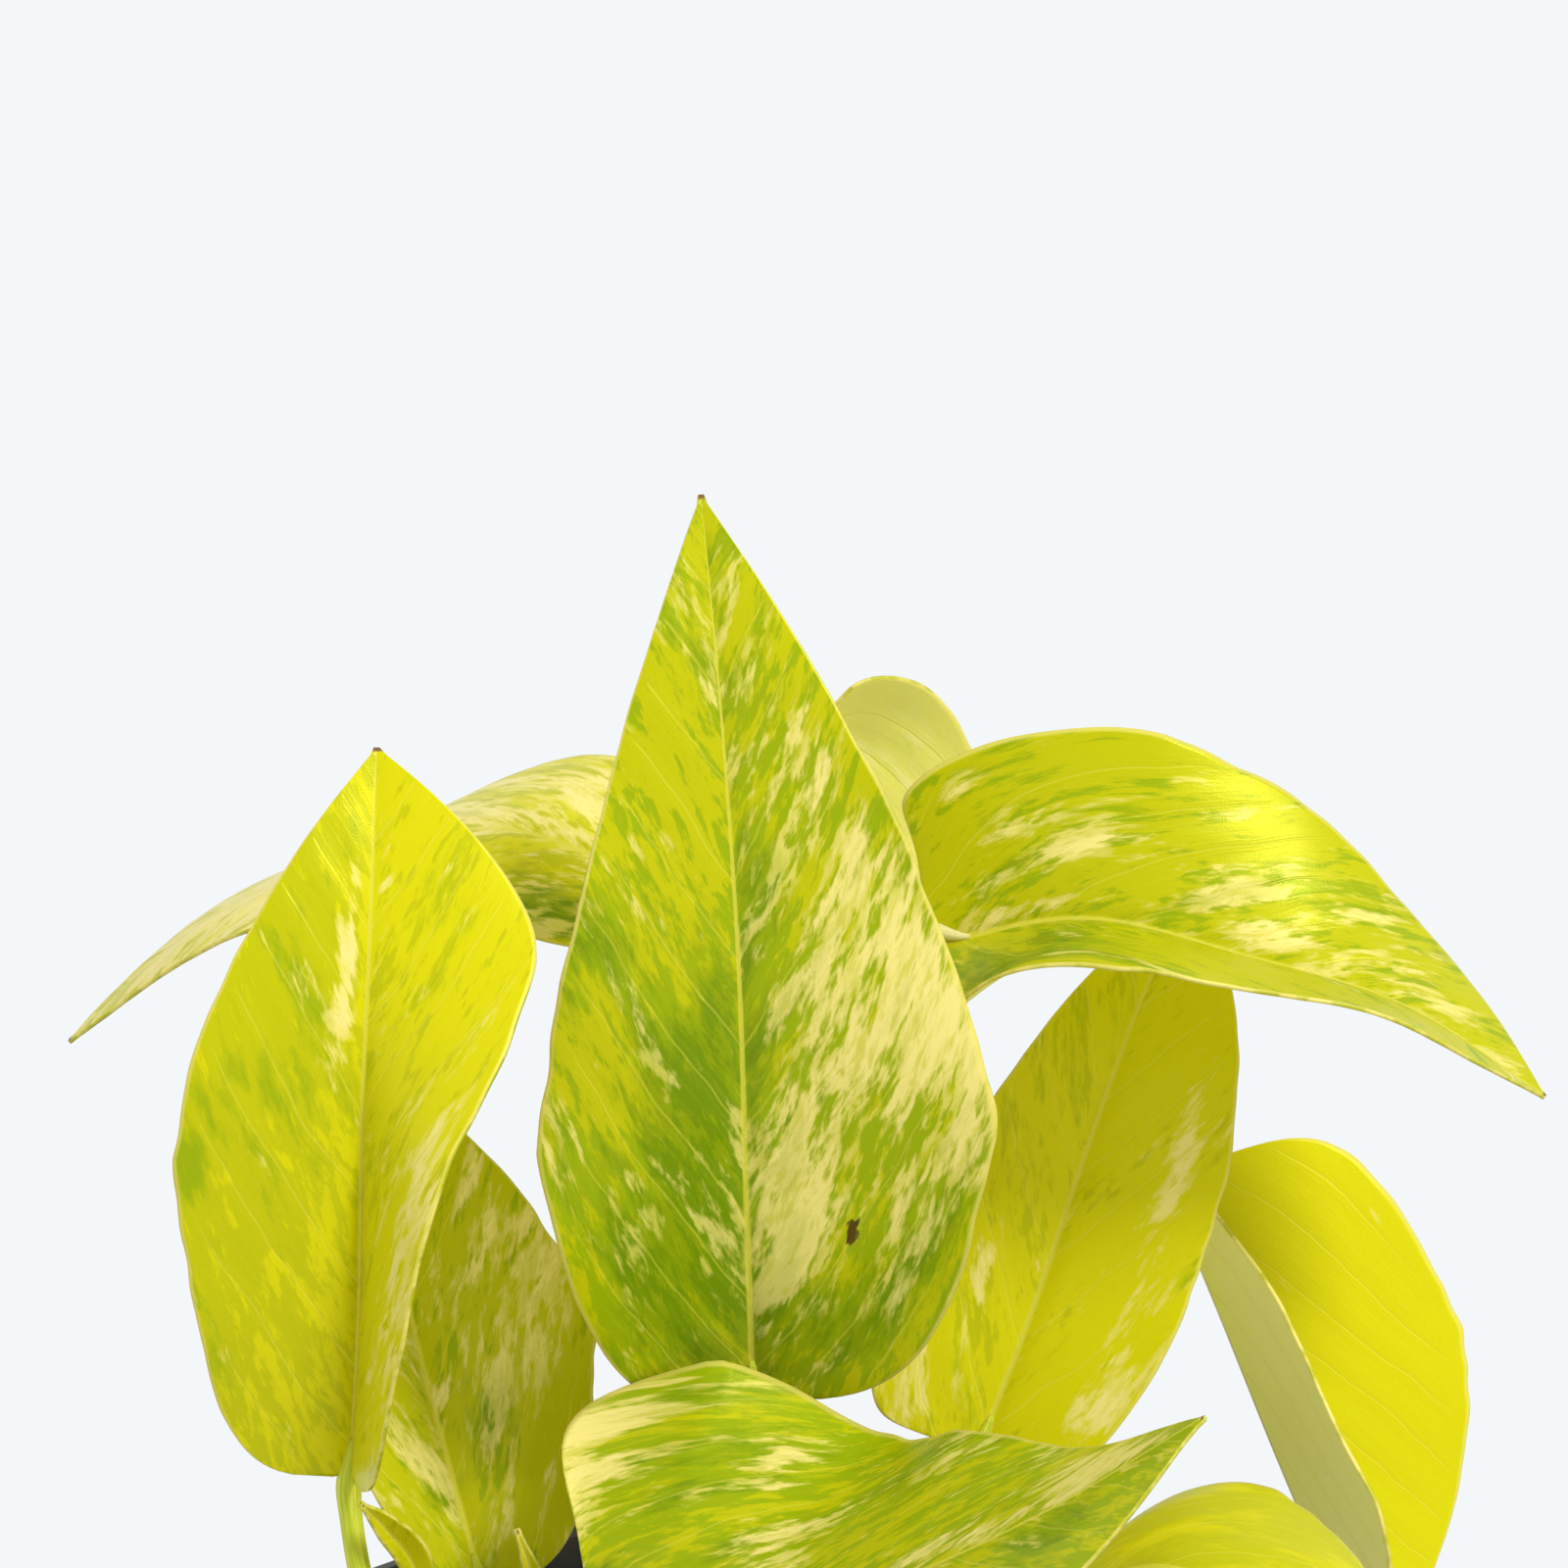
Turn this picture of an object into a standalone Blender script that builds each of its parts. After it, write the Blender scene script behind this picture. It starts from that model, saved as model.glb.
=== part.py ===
"""A young variegated pothos in a plain round nursery pot.

The pot stands on the ground plane with its axis on Z. The plant's fullest side faces -Y. Lengths below are in
millimetres, and the blades are listed from the stalk end to the tip.
"""

import math

import bmesh
import bpy
from mathutils import Vector

MM = 0.001

# Pot: outer radii, heights and walls
POT_HEIGHT = 96.0
POT_BASE_RADIUS = 37.0
POT_NECK_RADIUS = 50.5
POT_RIM_RADIUS = 55.0
RIM_HEIGHT = 13.0
WALL = 1.6
FLOOR = 2.0
BASE_ROUND = 3.0
ROUND_STEPS = 56
DRAIN_COUNT = 8
DRAIN_RADIUS = 3.5
DRAIN_RING = 29.0

# Soil: level under the rim, gap to the pot's wall and the pockets for the vines
SOIL_TOP = 87.0
SOIL_GAP = 0.3
SOIL_CROWN = 2.0
POCKET_DEPTH = 26.0
POCKET_GAP = 0.35

# Plant
BLADE_THICKNESS = 0.6
BLADE_ROWS = (0.0, 0.025, 0.06, 0.11, 0.18, 0.27, 0.37, 0.48, 0.59, 0.7, 0.8, 0.89, 0.955, 1.0)
HALF_COLUMNS = 4
NECK = 2.2
TIP = 0.35
STALK_GAP = 0.35
STALK_TOP_RADIUS = 1.4
STALK_FOOT_RADIUS = 2.0
VINE_RADIUS = 3.2

COLOURS = {
    "pot_charcoal": ((0.035, 0.034, 0.033), 0.6),
    "potting_soil": ((0.06, 0.038, 0.022), 0.95),
    "leaf_green": ((0.27, 0.42, 0.012), 0.38),
    "leaf_lime": ((0.48, 0.56, 0.01), 0.38),
    "leaf_yellow": ((0.66, 0.66, 0.01), 0.38),
    "leaf_cream": ((0.74, 0.66, 0.22), 0.4),
    "leaf_underside": ((0.6, 0.7, 0.25), 0.45),
    "stalk_green": ((0.5, 0.56, 0.06), 0.42),
    "stalk_cream": ((0.78, 0.7, 0.33), 0.42),
    "vine_green": ((0.3, 0.36, 0.05), 0.5),
}

# Each vine runs from inside the soil to its growing end.
VINES = {
    "vine_left": ((-30, -10, 62), (-31, -11, 75), (-32, -12, 88), (-35, -15, 98), (-36, -17, 107)),
    "vine_front": ((-4, -6, 62), (-3.5, -6, 75), (-3, -6, 88), (0, -5, 103), (4, -3, 116)),
    "vine_right": ((26, 6, 62), (26.5, 6, 75), (27, 6, 88), (31, 8, 105), (38, 13, 119)),
    "vine_back": ((2, 26, 62), (2, 25.5, 75), (2, 25, 88), (3, 23, 106), (3, 20, 124)),
}

# The usual outline: how fast each half (left, right) widens from the stalk, then how fast it narrows to the tip
ROUND = (0.3, 0.3, 1.7, 1.7)

# name: midrib points, directions that the face turns to along the midrib, half widths (left, right),
#       where each half is widest, outline, fold of each half (left, right) in degrees along the midrib,
#       curl of each half in degrees, ripple of the edge, lobe at the stalk, colour
BLADES = {
    "blade_centre": (
        ((3.4, -14, 129.8), (2.6, -22, 157.4), (1.8, -26.4, 185.5), (-0.1, -25.1, 213.9), (-2.7, -19, 241.8)),
        ((0.05, -1, 0.1), (0.05, -1, 0.3)), (26, 31), (0.32, 0.32), (0.3, 0.3, 1.45, 1.45), ((18, 16), (10, 10)), (-8, -6), 0.8, 3,
        "leaf_green",
    ),
    "blade_left": (
        ((-45.3, -24, 122.6), (-43.6, -29.7, 144.8), (-43, -32, 167.6), (-42.1, -29.9, 190.5), (-41.5, -22, 211.7)),
        ((0.05, -1, 0.15), (0, -1, 0.4)), (23.1, 20.4), (0.46, 0.72), (0.25, 0.3, 1.6, 1.7), ((12, 76), (12, 75), (12, 58), (12, 8), (12, 8)),
        (-8, -8), 0.5, 2, "leaf_lime",
    ),
    "blade_back_left": (
        ((-6.1, 4, 188.5), (-26.4, 13, 195.4), (-47.3, 22.3, 190.2), (-66.7, 29.8, 180.2), (-84.3, 36, 163.7)),
        ((-0.1, -0.75, 0.6), (-0.1, -0.3, 0.93), (-0.35, -0.08, 0.93), (-0.5, -0.25, 0.8)), (17.5, 21), (0.3, 0.25), ROUND,
        ((-5, 0), (-6, -5), (0, 0)), (-8, -8), 0.4, 0, "leaf_cream",
    ),
    "blade_low_left": (
        ((-30, -6, 102.7), (-34.7, -2.5, 119.1), (-39, 0.7, 135.6), (-42, 5.9, 151.9), (-45.2, 12, 167.7)),
        ((0.3, -1, 0.1), (0.1, -1, 0.4)), (13.5, 23), (0.35, 0.45), (0.3, 0.3, 1.7, 1.5), ((26, 12), (15, 10)), (0, -8), 0.4, 0,
        "leaf_green",
    ),
    "blade_back_top": (
        ((10, 30, 205.5), (14.5, 38, 202), (18, 42, 190), (21.5, 43, 174), (24.5, 41, 158)),
        ((0, 1, 0.25), (0.1, 1, 0.1)), (13, 16.5), (0.4, 0.4), (0.4, 0.45, 1.7, 1.7),
        ((2, 2), (8, 8)), (-14, -14), 0.2, 5,
        "leaf_underside",
    ),
    "blade_right": (
        ((25.2, -5, 184.6), (43.9, -10.6, 188.7), (63.3, -15, 184.8), (82.1, -18.8, 179.5), (98.9, -22, 169)),
        ((0, -0.7, 0.7), (0.4, -0.5, 0.8)), (24, 20), (0.31, 0.35), (0.22, 0.3, 1.85, 1.7),
        ((34, -8), (37, 31), (24, 40), (2, 35), (0, 30)), (-6, -10), 0.6, 9, "leaf_green",
    ),
    "blade_mid_right": (
        ((31.3, 0, 119), (38.1, 0.9, 137.2), (44.3, 2.8, 155.6), (51, 7.6, 173.4), (58.6, 16, 189)),
        ((-0.05, -1, 0.1), (0, -1, 0.5)), (18.8, 18.6), (0.2, 0.34), (0.3, 0.3, 1.5, 2.8), ((14, 14), (10, 10)), (-6, -6), 0.4, 5,
        "leaf_lime",
    ),
    "blade_far_right": (
        ((55.3, 16, 150.2), (62, 11.7, 134.4), (68.5, 8.8, 118.3), (75.2, 7.1, 102), (81.3, 7, 85.6)),
        ((0.84, -0.54, 0.36), (0.84, -0.54, 0.36)), (28.5, 27), (0.36, 0.6), (0.3, 0.7, 2.1, 1.7), ((57, 60), (45, 52)), (-8, -6), 0.4, 6,
        "leaf_yellow",
    ),
    "blade_front": (
        ((-15, -35, 104), (1.6, -51.2, 111.7), (19.6, -65, 120.8), (37.2, -77, 132.6), (54.6, -87, 146.3)),
        ((-0.59, -0.77, -0.03), (-0.58, -0.45, 0.45), (-0.52, -0.22, 0.67), (-0.49, -0.09, 0.72)), (36, 30),
        (0.12, 0.3), ROUND, ((-6, 75), (-28, 48), (-10, 8), (-8, -8), (-8, -13)), (-6, -10), 0.6, 10, "leaf_green",
    ),
    "blade_low_right": (
        ((42.9, -25, 109.5), (53.4, -34.4, 114), (65.3, -42.5, 111), (75.3, -47.5, 101.1), (81.7, -50, 88.2)),
        ((0.1, -0.55, 0.8), (0.7, -0.5, 0.6)), (20, 20), (0.3, 0.3), ROUND, ((12, 12), (8, 8)), (-25, -25), 0.4, 0,
        "leaf_yellow",
    ),
    "blade_rear_top": (
        ((3, 38, 140), (2, 50, 155), (1, 64, 160), (0, 79, 152), (-2, 90, 134)),
        ((0, -0.6, 0.8), (0, 0.8, 0.6)), (22, 22), (0.3, 0.3), ROUND, ((12, 12), (10, 10)), (-10, -10), 0.5, 2,
        "leaf_lime",
    ),
    "blade_rear_right": (
        ((22, 40, 108), (26, 54, 104), (29, 66, 92), (31, 74, 76), (32, 78, 60)),
        ((0.1, 0.5, 0.9), (0.2, 1, 0.2)), (21, 21), (0.3, 0.3), ROUND, ((14, 14), (10, 10)), (-10, -10), 0.5, 2,
        "leaf_green",
    ),
    "blade_rear_left": (
        ((-10, 40, 108), (-14, 54, 104), (-17, 66, 92), (-19, 73, 76), (-20, 77, 60)),
        ((-0.1, 0.5, 0.9), (-0.2, 1, 0.2)), (20, 20), (0.3, 0.3), ROUND, ((14, 14), (10, 10)), (-10, -10), 0.5, 2,
        "leaf_lime",
    ),
    "sheath_left": (
        ((-34.5, -19.2, 99), (-38, -21.8, 110.5), (-41.3, -26, 116.5), (-43.8, -29.8, 120.5)),
        ((0.3, -1, 0.2), (0.3, -1, 0.2)), (2.4, 3.0), (0.4, 0.4), ROUND, ((40, 40), (20, 20)), (20, 20), 0.0, 0,
        "leaf_lime",
    ),
    "sheath_front": (
        ((-20.5, -16, 89.5), (-21.5, -18, 98.5), (-23, -21, 107.5), (-25.3, -23, 115.5)),
        ((0, -1, 0.2), (0, -1, 0.2)), (2.0, 2.4), (0.4, 0.4), ROUND, ((30, 30), (20, 20)), (10, 10), 0.0, 0,
        "leaf_lime",
    ),
}

# Each stalk starts beside its vine and ends at its blade, whose name has the same ending.
STALKS = {
    "stalk_centre": (((3.5, -9.5, 110), (4, -12, 120)), "stalk_green"),
    "stalk_left": (((-39.5, -18.8, 97.5), (-43.3, -22.5, 105)), "stalk_green"),
    "stalk_back_left": (((-0.8, 17.3, 117), (-3, 12, 148), (-3, 6, 172)), "stalk_green"),
    "stalk_low_left": (((-29, -7, 90), (-28.5, -6.5, 95)), "stalk_green"),
    "stalk_back_top": (((7, 18, 120), (9, 15, 150), (7.5, 17, 183), (6.5, 22, 200)), "stalk_cream"),
    "stalk_right": (((6.2, 18, 111), (9, 4, 130), (14, -3, 160)), "stalk_cream"),
    "stalk_mid_right": (((31, 2, 100), (29.5, 0, 107)), "stalk_green"),
    "stalk_far_right": (((43, 15, 118), (47.5, 20, 138), (49.5, 19.5, 150)), "stalk_green"),
    "stalk_front": (((-4.5, -11, 95), (-11, -22, 101)), "stalk_green"),
    "stalk_low_right": (((32, 2, 94), (35, -12, 102)), "stalk_green"),
    "stalk_rear_top": (((4, 26, 116), (4, 31, 126)), "stalk_green"),
    "stalk_rear_right": (((8, 26, 104), (16, 32, 108)), "stalk_green"),
    "stalk_rear_left": (((-2, 28, 99), (-6, 34, 104)), "stalk_green"),
}


def clear_scene():
    for item in list(bpy.data.objects):
        bpy.data.objects.remove(item)


def collection(name, rendered=True):
    made = bpy.data.collections.new(name)
    made.hide_render = not rendered
    bpy.context.scene.collection.children.link(made)
    return made


def materials():
    made = {}
    for name, (colour, roughness) in COLOURS.items():
        material = bpy.data.materials.new(name)
        material.use_nodes = True
        shader = material.node_tree.nodes["Principled BSDF"]
        shader.inputs["Base Color"].default_value = (*colour, 1.0)
        shader.inputs["Roughness"].default_value = roughness
        made[name] = material
    return made


def add_mesh(name, bm, group, material=None, smooth=True):
    mesh = bpy.data.meshes.new(name)
    bmesh.ops.recalc_face_normals(bm, faces=bm.faces)
    bm.to_mesh(mesh)
    bm.free()
    mesh.polygons.foreach_set("use_smooth", [smooth] * len(mesh.polygons))
    if material:
        mesh.materials.append(material)
    item = bpy.data.objects.new(name, mesh)
    group.objects.link(item)
    return item


def turned(name, profile, group, material=None, steps=ROUND_STEPS):
    """A solid of revolution from a closed (radius, height) outline that starts and ends on the axis."""
    bm = bmesh.new()
    points = [bm.verts.new((radius * MM, 0.0, height * MM)) for radius, height in profile]
    edges = [bm.edges.new(pair) for pair in zip(points, points[1:])]
    bmesh.ops.spin(
        bm, geom=points + edges, axis=(0, 0, 1), cent=(0, 0, 0), angle=math.tau, steps=steps,
        use_merge=True, use_duplicate=False,
    )
    bmesh.ops.remove_doubles(bm, verts=bm.verts, dist=0.00001)
    return add_mesh(name, bm, group, material)


def cut(item, cutter):
    boolean = item.modifiers.new(cutter.name, "BOOLEAN")
    boolean.operation = "DIFFERENCE"
    boolean.solver = "EXACT"
    boolean.object = cutter


def as_cutter(item):
    item.hide_render = True
    item.display_type = "WIRE"
    return item


def pot_profile():
    top = POT_HEIGHT
    band = top - RIM_HEIGHT
    inner_neck = POT_NECK_RADIUS - WALL
    return [
        (0, 0), (POT_BASE_RADIUS - BASE_ROUND, 0), (POT_BASE_RADIUS - 1.0, 0.9), (POT_BASE_RADIUS, BASE_ROUND),
        (POT_NECK_RADIUS, band - 1.0), (POT_RIM_RADIUS - 1.6, band), (POT_RIM_RADIUS - 1.2, band + 0.6),
        (POT_RIM_RADIUS - 0.6, top - 2.6), (POT_RIM_RADIUS, top - 1.6), (POT_RIM_RADIUS - 0.2, top - 0.4),
        (POT_RIM_RADIUS - 1.0, top), (POT_RIM_RADIUS - 2.4, top - 0.1), (POT_RIM_RADIUS - 3.0, top - 1.2),
        (inner_neck + 1.6, band + 1.6), (inner_neck, band - 1.0), (POT_BASE_RADIUS - WALL, FLOOR + 1.4),
        (POT_BASE_RADIUS - WALL - 1.4, FLOOR), (0, FLOOR),
    ]


def build_pot(group, cutters, material):
    pot = turned("pot", pot_profile(), group, material)
    bm = bmesh.new()
    for index in range(DRAIN_COUNT):
        angle = math.tau * (index + 0.5) / DRAIN_COUNT
        made = bmesh.ops.create_cone(
            bm, cap_ends=True, segments=16, radius1=DRAIN_RADIUS * MM, radius2=DRAIN_RADIUS * MM, depth=8 * MM,
        )
        place = Vector((DRAIN_RING * math.cos(angle), DRAIN_RING * math.sin(angle), FLOOR / 2)) * MM
        bmesh.ops.translate(bm, verts=made["verts"], vec=place)
    cut(pot, as_cutter(add_mesh("drain_cutter", bm, cutters)))
    return pot


def wall_radius(height):
    """Inner radius of the pot's wall under the rim band."""
    low, high = FLOOR + 1.4, POT_HEIGHT - RIM_HEIGHT - 1.0
    share = (height - low) / (high - low)
    return POT_BASE_RADIUS + (POT_NECK_RADIUS - POT_BASE_RADIUS) * share - WALL


def build_soil(group, cutters, material):
    band = POT_HEIGHT - RIM_HEIGHT - 1.0
    low = FLOOR + SOIL_GAP
    top_radius = wall_radius(band) - SOIL_GAP * 1.6
    profile = [
        (0, low), (POT_BASE_RADIUS - WALL - 2.4, low), (wall_radius(FLOOR + 2.2) - SOIL_GAP * 1.6, FLOOR + 2.6),
        (top_radius, band), (top_radius + 0.2, SOIL_TOP - 3.0), (top_radius - 1.6, SOIL_TOP - 1.2),
        (top_radius * 0.72, SOIL_TOP), (top_radius * 0.35, SOIL_TOP + SOIL_CROWN * 0.7), (0, SOIL_TOP + SOIL_CROWN),
    ]
    soil = turned("soil", profile, group, material)
    for name, points in VINES.items():
        pocket = tube(
            f"{name}_pocket", straight(points[0], points[1], POCKET_GAP), cutters,
            lambda share: VINE_RADIUS + POCKET_GAP, sides=14,
        )
        cut(soil, as_cutter(pocket))
    return soil


def straight(foot, above, gap):
    """The line of a pocket, from just under a vine's foot to well above the soil."""
    foot, above = Vector(foot), Vector(above)
    lean = (above - foot).normalized()
    return [foot - lean * gap, foot + lean * (POCKET_DEPTH + 8.0)]


def smooth_point(points, share):
    """The point at a share of the way along a smooth line through the given points."""
    place = min(max(share, 0.0), 1.0) * (len(points) - 1)
    index = min(int(place), len(points) - 2)
    t = place - index
    p1, p2 = points[index], points[index + 1]
    p0 = points[index - 1] if index else p1 * 2 - p2
    p3 = points[index + 2] if index + 2 < len(points) else p2 * 2 - p1
    return 0.5 * (
        2 * p1 + (p2 - p0) * t + (2 * p0 - 5 * p1 + 4 * p2 - p3) * t ** 2 + (3 * p1 - p0 - 3 * p2 + p3) * t ** 3
    )


def smooth_line(points, steps):
    points = [Vector(point) for point in points]
    return [smooth_point(points, index / steps) for index in range(steps + 1)]


def tube(name, line, group, radius, material=None, sides=8):
    """A closed tube along a line, its rings square to the line and its ends capped."""
    bm = bmesh.new()
    rings = []
    across = Vector((1.0, 0.0, 0.0))
    for index, point in enumerate(line):
        ahead = line[min(index + 1, len(line) - 1)] - line[max(index - 1, 0)]
        ahead.normalize()
        across = (across - ahead * across.dot(ahead)).normalized()
        other = ahead.cross(across)
        size = radius(index / (len(line) - 1))
        ring = []
        for side in range(sides):
            angle = math.tau * side / sides
            offset = across * math.cos(angle) + other * math.sin(angle)
            ring.append(bm.verts.new((point + offset * size) * MM))
        rings.append(ring)
    for near, far in zip(rings, rings[1:]):
        for side in range(sides):
            after = (side + 1) % sides
            bm.faces.new((near[side], near[after], far[after], far[side]))
    bm.faces.new(list(reversed(rings[0])))
    bm.faces.new(rings[-1])
    return add_mesh(name, bm, group, material)


def build_vine(name, group, material):
    line = smooth_line(VINES[name], 12)
    return tube(name, line, group, lambda share: VINE_RADIUS * (1.0 - 0.35 * share ** 3), material, sides=10)


def build_stalk(name, group, parts):
    points, colour = STALKS[name]
    midrib = [Vector(point) for point in BLADES[name.replace("stalk", "blade")][0]]
    lean = (midrib[1] - midrib[0]).normalized()
    end = midrib[0] - lean * STALK_GAP
    line = smooth_line(list(points) + [end - lean * 4.0], 3 * len(points)) + [end]
    taper = STALK_FOOT_RADIUS - STALK_TOP_RADIUS
    return tube(
        name, line, group, lambda share: STALK_TOP_RADIUS + taper * (1.0 - share) ** 1.5, parts[colour], sides=8,
    )


def half_width(share, widest, peak, widen, narrow):
    """Half the blade's width at a share of the way from the stalk to the tip."""
    if share < peak:
        size = (share / peak) ** widen
    else:
        size = 1.0 - ((share - peak) / (1.0 - peak)) ** narrow
    least = min(NECK, widest) * (1.0 - share) + TIP * share
    return max(size * widest, least)


def blade_frame(midrib, share, facing):
    """The midrib's point at a share of its length, with its directions ahead, out of the face and to the right."""
    point = smooth_point(midrib, share)
    ahead = (smooth_point(midrib, share + 0.01) - smooth_point(midrib, share - 0.01)).normalized()
    out = smooth_point(facing, share)
    out = (out - ahead * out.dot(ahead)).normalized()
    return point, ahead, out, ahead.cross(out)


def blade_point(blade, share, across):
    """A point of the blade's middle surface. across runs from -1 at the left edge to 1 at the right edge."""
    midrib, facing, widths, peaks, outline, folds, curls, ripple, lobe = blade
    point, ahead, out, right = blade_frame(midrib, share, facing)
    side = 0 if across < 0 else 1
    reach = abs(across)
    width = half_width(share, widths[side], peaks[side], outline[side], outline[2 + side])
    fold = math.radians(smooth_point(folds, share)[side])
    bend = math.radians(curls[side]) * reach
    chord = width * reach * (math.sin(bend / 2) / (bend / 2) if abs(bend) > 1e-6 else 1.0)
    outward = right if across > 0 else -right
    point = point + (outward * math.cos(fold + bend / 2) + out * math.sin(fold + bend / 2)) * chord
    point = point - ahead * lobe * math.sin(math.pi * min(1.0, share / peaks[side])) * reach ** 2
    wave = math.sin(share * 17.0 + across * 2.0) * math.sin(math.pi * share)
    return point + out * ripple * wave * reach ** 2


def build_blade(name, group, parts):
    spine, faces, widths, peaks, outline, folds, curls, ripple, lobe, colour = BLADES[name]
    spine, faces, folds = ([Vector(item) for item in items] for items in (spine, faces, folds))
    blade = (spine, faces, widths, peaks, outline, folds, curls, ripple, lobe)
    small = name.startswith("sheath")
    rows = BLADE_ROWS[::3] + (1.0,) if small else BLADE_ROWS
    columns = 1 if small else HALF_COLUMNS
    bm = bmesh.new()
    bmesh.ops.create_grid(bm, x_segments=2 * columns, y_segments=len(rows) - 1, size=1.0)
    for vert in bm.verts:
        row = round((vert.co.y + 1.0) / 2.0 * (len(rows) - 1))
        vert.co = blade_point(blade, rows[row], vert.co.x) * MM
    item = add_mesh(name, bm, group, parts[colour])
    solid = item.modifiers.new("thickness", "SOLIDIFY")
    solid.thickness = BLADE_THICKNESS * MM
    solid.offset = 0.0
    return item


def main():
    clear_scene()
    parts = materials()
    group = collection("potted_pothos_plant")
    cutters = collection("cutters", rendered=False)
    build_pot(group, cutters, parts["pot_charcoal"])
    build_soil(group, cutters, parts["potting_soil"])
    for name in VINES:
        build_vine(name, group, parts["vine_green"])
    for name in STALKS:
        build_stalk(name, group, parts)
    for name in BLADES:
        build_blade(name, group, parts)


main()
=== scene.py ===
"""A young variegated pothos in a plain round nursery pot, finished for pictures.

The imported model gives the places. Lengths in the plant's tables are in millimetres, as its pieces are
measured on a bench, and every mesh is in metres.
"""

import math
import random

import bmesh
import bpy
from mathutils import Matrix, Vector


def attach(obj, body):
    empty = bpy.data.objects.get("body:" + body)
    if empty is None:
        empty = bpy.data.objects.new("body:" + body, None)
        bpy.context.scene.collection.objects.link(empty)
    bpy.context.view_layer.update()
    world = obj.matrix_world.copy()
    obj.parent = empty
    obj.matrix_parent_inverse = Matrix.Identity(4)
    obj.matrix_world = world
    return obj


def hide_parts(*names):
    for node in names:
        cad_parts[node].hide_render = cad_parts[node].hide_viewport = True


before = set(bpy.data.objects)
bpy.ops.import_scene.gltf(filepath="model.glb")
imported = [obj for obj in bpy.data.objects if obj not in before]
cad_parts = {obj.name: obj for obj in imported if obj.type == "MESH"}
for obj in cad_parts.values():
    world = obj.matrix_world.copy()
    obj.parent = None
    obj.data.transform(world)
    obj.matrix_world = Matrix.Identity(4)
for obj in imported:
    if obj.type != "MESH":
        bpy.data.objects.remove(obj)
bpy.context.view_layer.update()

# ---- Camera, floor and light ---------------------------------------------------------------------
# The camera looks down a little on the leaves from the pot's front. The floor is one large pale sheet, and
# the light is a wide soft sun from the upper right with an even pale sky, as in a white studio.
MM = 0.001
AIM = Vector((0.0072, 0.0, 0.2034))
CAMERA_ELEVATION = math.radians(10.0)
CAMERA_DISTANCE = 0.95
LENS, SENSOR = 178.05, 36.0
FLOOR_SIDE = 60.0
FLOOR_COLOUR = (0.698, 0.706, 0.713, 1.0)
SKY_COLOUR = (0.96, 0.98, 1.0, 1.0)
SKY_STRENGTH = 0.86
SUN_STRENGTH = 2.15
SUN_ANGLE = math.radians(14.0)
SUN_TURN = (math.radians(46.0), 0.0, math.radians(38.0))

scene = bpy.context.scene
camera_data = bpy.data.cameras.new("camera")
camera_data.lens = LENS
camera_data.sensor_width = SENSOR
camera = bpy.data.objects.new("camera", camera_data)
back = Vector((0.0, -math.cos(CAMERA_ELEVATION), math.sin(CAMERA_ELEVATION)))
camera.location = AIM + back * CAMERA_DISTANCE
camera.rotation_euler = back.to_track_quat("Z", "Y").to_euler()
scene.collection.objects.link(camera)
scene.camera = camera

sun_data = bpy.data.lights.new("sun", "SUN")
sun_data.energy = SUN_STRENGTH
sun_data.angle = SUN_ANGLE
sun = bpy.data.objects.new("sun", sun_data)
sun.rotation_euler = SUN_TURN
scene.collection.objects.link(sun)

world = bpy.data.worlds.new("studio")
world.use_nodes = True
world.node_tree.nodes["Background"].inputs["Color"].default_value = SKY_COLOUR
world.node_tree.nodes["Background"].inputs["Strength"].default_value = SKY_STRENGTH
scene.world = world
scene.view_settings.view_transform = "Standard"


class Wire:
    """A shader socket that takes part in Python sums, each of which adds its Math node."""

    def __init__(self, nodes, socket):
        self.nodes = nodes
        self.socket = socket

    def math(self, operation, first, second=0.0):
        return self.nodes.add("ShaderNodeMath", {"operation": operation}, {0: first, 1: second})

    def __add__(self, other):
        return self.math("ADD", self, other)

    __radd__ = __add__

    def __sub__(self, other):
        return self.math("SUBTRACT", self, other)

    def __rsub__(self, other):
        return self.math("SUBTRACT", other, self)

    def __mul__(self, other):
        return self.math("MULTIPLY", self, other)

    __rmul__ = __mul__

    def size(self):
        return self.math("ABSOLUTE", self)


WAX_SHINE = 0.5
WAX_TINT = (1.0, 0.96, 0.12, 1.0)


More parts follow.
